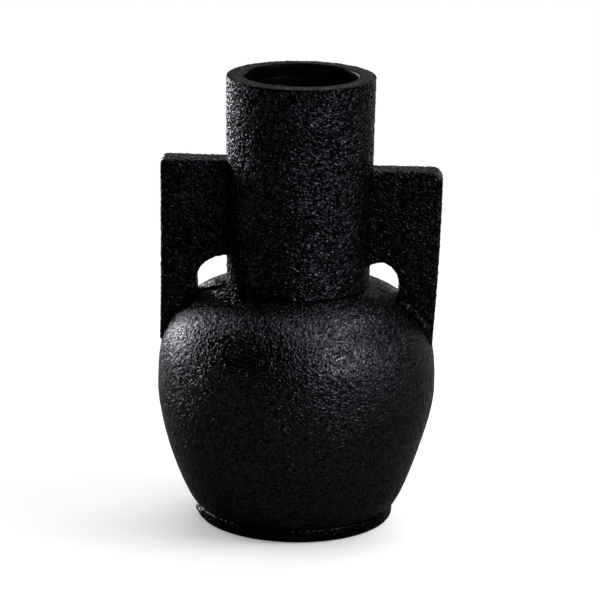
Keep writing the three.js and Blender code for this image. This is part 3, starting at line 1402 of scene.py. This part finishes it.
@dataclass
class Studio:
    """The pale floor, the soft lamps and the camera."""

    elevation: float = 15.486
    azimuth: float = 2.0
    distance: float = 2.2969
    aim_height: float = 0.15887
    focal_pixels: float = 3231.1
    picture_pixels: float = 600.0
    roll: float = 0.95
    sideways_pixels: float = 2.4
    sensor: float = 36.0
    floor_reach: float = 12.0
    floor_low: float = -0.05 * MM
    floor_lift: float = 0.3
    floor_seen: float = 0.8
    floor_bounce: float = 0.2
    fade: tuple[float, float] = (0.3, 0.9)
    mirrored_fade: tuple[float, float] = (1.2, 3.5)
    near_limit: float = 0.05
    world_fade: tuple[float, float] = (0.1, 0.9)
    world_dark: float = 0.002
    world_behind: float = 0.01
    world_mirrored: float = 0.08

    def camera(self) -> bpy.types.Object:
        """Makes the camera at the photograph's place.

        Returns:
            The camera object.
        """
        data = bpy.data.cameras.new("camera")
        data.sensor_width = self.sensor
        data.lens = self.focal_pixels / self.picture_pixels * data.sensor_width
        data.shift_x = self.sideways_pixels / self.picture_pixels
        data.clip_start = self.near_limit
        camera = bpy.data.objects.new("camera", data)
        bpy.context.scene.collection.objects.link(camera)
        back = direction(self.azimuth, self.elevation)
        camera.location = Vector((0, 0, self.aim_height)) + back * self.distance
        roll = Quaternion((0, 0, 1), math.radians(self.roll))
        camera.rotation_mode = "QUATERNION"
        camera.rotation_quaternion = (-back).to_track_quat("-Z", "Y") @ roll
        bpy.context.scene.camera = camera
        return camera

    def lamp(self, soft_box: SoftBox, lit: bpy.types.Collection) -> bpy.types.Object:
        """Makes a soft box that faces the vase.

        Args:
            soft_box: Where it stands, its size and its power.
            lit: The only objects that it lights.

        Returns:
            The lamp object.
        """
        data = bpy.data.lights.new(soft_box.name, "AREA")
        data.shape = "RECTANGLE"
        data.size = data.size_y = soft_box.size
        data.energy = soft_box.power
        lamp = bpy.data.objects.new(soft_box.name, data)
        bpy.context.scene.collection.objects.link(lamp)
        towards = direction(soft_box.azimuth, soft_box.elevation)
        lamp.location = Vector((0, 0, self.aim_height)) + towards * soft_box.distance
        lamp.rotation_mode = "QUATERNION"
        lamp.rotation_quaternion = (-towards).to_track_quat("-Z", "Y")
        lamp.light_linking.receiver_collection = lit
        return lamp

    def lamps(self, vase: bpy.types.Collection, ground: bpy.types.Collection) -> None:
        """Places the soft boxes as the photograph's highlights and its shadow show them.

        Args:
            vase: The vase's pieces.
            ground: The floor.
        """
        for soft_box in VASE_LIGHTS:
            self.lamp(soft_box, vase)
        for soft_box in FLOOR_LIGHTS:
            self.lamp(soft_box, ground)

    def seen(self, canvas: NodeCanvas, path: bpy.types.Node) -> bpy.types.NodeSocket:
        """Tells what the camera sees, straight or through glass.

        Args:
            canvas: The material's or the world's canvas.
            path: Its Light Path node.

        Returns:
            1 for those rays and 0 for all others.
        """
        rays = path.outputs
        return canvas.math("MAXIMUM", rays["Is Camera Ray"], rays["Is Transmission Ray"])

    def world(self) -> None:
        """Makes the surroundings: white to the eye, bright behind the vase and dark in front."""
        world = bpy.data.worlds.new("surroundings")
        world.use_nodes = True
        bpy.context.scene.world = world
        canvas = NodeCanvas(world.node_tree)
        path = canvas.add("ShaderNodeLightPath")
        seen = self.seen(canvas, path)
        place = canvas.add("ShaderNodeTexCoord")
        parts = canvas.add("ShaderNodeSeparateXYZ")
        canvas.put(parts.inputs[0], place.outputs["Generated"])
        behind = canvas.ramp(parts.outputs["Y"], *self.world_fade)
        mirrored = canvas.math("MULTIPLY", path.outputs["Is Glossy Ray"], self.world_mirrored)
        bright = canvas.math("ADD", self.world_behind, mirrored)
        level = canvas.math("MULTIPLY_ADD", behind, bright, self.world_dark)
        shade = canvas.add("ShaderNodeBackground")
        canvas.feed(shade, Strength=canvas.math("MAXIMUM", level, seen))
        out = canvas.add("ShaderNodeOutputWorld")
        canvas.feed(out, Surface=shade.outputs[0])

    def floor_material(self) -> bpy.types.Material:
        """Makes the pale floor's material, which fades to plain white away from the vase.

        Returns:
            The material.
        """
        material = bpy.data.materials.new("pale_floor")
        material.use_nodes = True
        canvas = NodeCanvas(material.node_tree)
        path = canvas.add("ShaderNodeLightPath")
        place = canvas.add("ShaderNodeTexCoord")
        distance = canvas.add("ShaderNodeVectorMath", operation="LENGTH")
        canvas.put(distance.inputs[0], place.outputs["Object"])
        direct = self.seen(canvas, path)
        far_off = canvas.ramp(distance.outputs["Value"], *self.mirrored_fade)
        mirrored = canvas.math("MULTIPLY", path.outputs["Is Glossy Ray"], far_off)
        seen = canvas.math("MAXIMUM", direct, mirrored)
        away = canvas.ramp(distance.outputs["Value"], *self.fade)
        bounce, pale = ((grey, grey, grey, 1) for grey in (self.floor_bounce, self.floor_seen))
        lit = canvas.add("ShaderNodeBsdfDiffuse")
        canvas.feed(lit, Color=canvas.blend(direct, bounce, pale))
        lift = canvas.add("ShaderNodeEmission")
        canvas.feed(lift, Strength=canvas.math("MULTIPLY", seen, self.floor_lift))
        near = canvas.add("ShaderNodeAddShader")
        canvas.put(near.inputs[0], lit.outputs[0])
        canvas.put(near.inputs[1], lift.outputs[0])
        white = canvas.add("ShaderNodeEmission")
        mix = canvas.add("ShaderNodeMixShader")
        canvas.put(mix.inputs[0], canvas.math("MULTIPLY", away, seen))
        canvas.put(mix.inputs[1], near.outputs[0])
        canvas.put(mix.inputs[2], white.outputs[0])
        out = canvas.add("ShaderNodeOutputMaterial")
        canvas.feed(out, Surface=mix.outputs[0])
        return material

    def floor(self) -> bpy.types.Object:
        """Makes the floor, which keeps the vase's shadow.

        Returns:
            The floor object.
        """
        reach, low = self.floor_reach, self.floor_low
        corners = ((-reach, -reach), (reach, -reach), (reach, reach), (-reach, reach))
        mesh = bpy.data.meshes.new("floor")
        mesh.from_pydata([(x, y, low) for x, y in corners], [], [(0, 1, 2, 3)])
        piece = bpy.data.objects.new("floor", mesh)
        bpy.context.scene.collection.objects.link(piece)
        mesh.materials.append(self.floor_material())
        piece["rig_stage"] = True
        return piece


def collect(name: str, pieces: list[bpy.types.Object]) -> bpy.types.Collection:
    """Puts objects into a new collection, for the lamps that light only them.

    Args:
        name: The collection's name.
        pieces: The objects.

    Returns:
        The collection.
    """
    collection = bpy.data.collections.new(name)
    for piece in pieces:
        collection.objects.link(piece)
    return collection


def build_vase(frame: dict) -> bpy.types.Collection:
    """Builds, dresses and places every piece of the vase.


    Returns:
        The pieces.
    """
    groups = relief_group(), tone_group()
    belly_slip = BELLY_SLIP.material(*groups)
    neck_slip = NECK_SLIP.material(*groups)
    handle_slip = SHADED_HANDLE_SLIP.material(*groups)
    shaded_foot_slip = SHADED_FOOT_SLIP.material(*groups)
    foot, belly, neck = FootRing(), Belly(), Neck()
    foot.make(shaded_foot_slip, "belly_slip", "foot_ring")
    belly.make(belly_slip, "belly_slip", "belly")
    neck.make(neck_slip, "neck_slip", "neck")
    for node in ("handle_left", "handle_right"):
        HandleSlab(frame["nodes"][node], belly, neck).make(handle_slip, "handle_slip", node)
    half_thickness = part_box("handle_left")[1].y
    for bead in JointClay(belly, half_thickness).beads():
        bead.make(belly_slip, "handle_slip")
    foot.smear().make(neck_slip, "belly_slip")
    return collect("vase_pieces", [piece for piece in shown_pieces() if not piece.get("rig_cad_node")])


def main() -> None:
    """Builds the vase's pieces in order, then the studio."""
    logging.basicConfig(level=logging.INFO, format="%(message)s")
    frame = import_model()
    vase = build_vase(frame)
    studio = Studio()
    studio.camera()
    studio.world()
    studio.lamps(vase, collect("ground", [studio.floor()]))
    bpy.context.scene.view_settings.view_transform = "Standard"


if __name__ == "__main__":
    main()
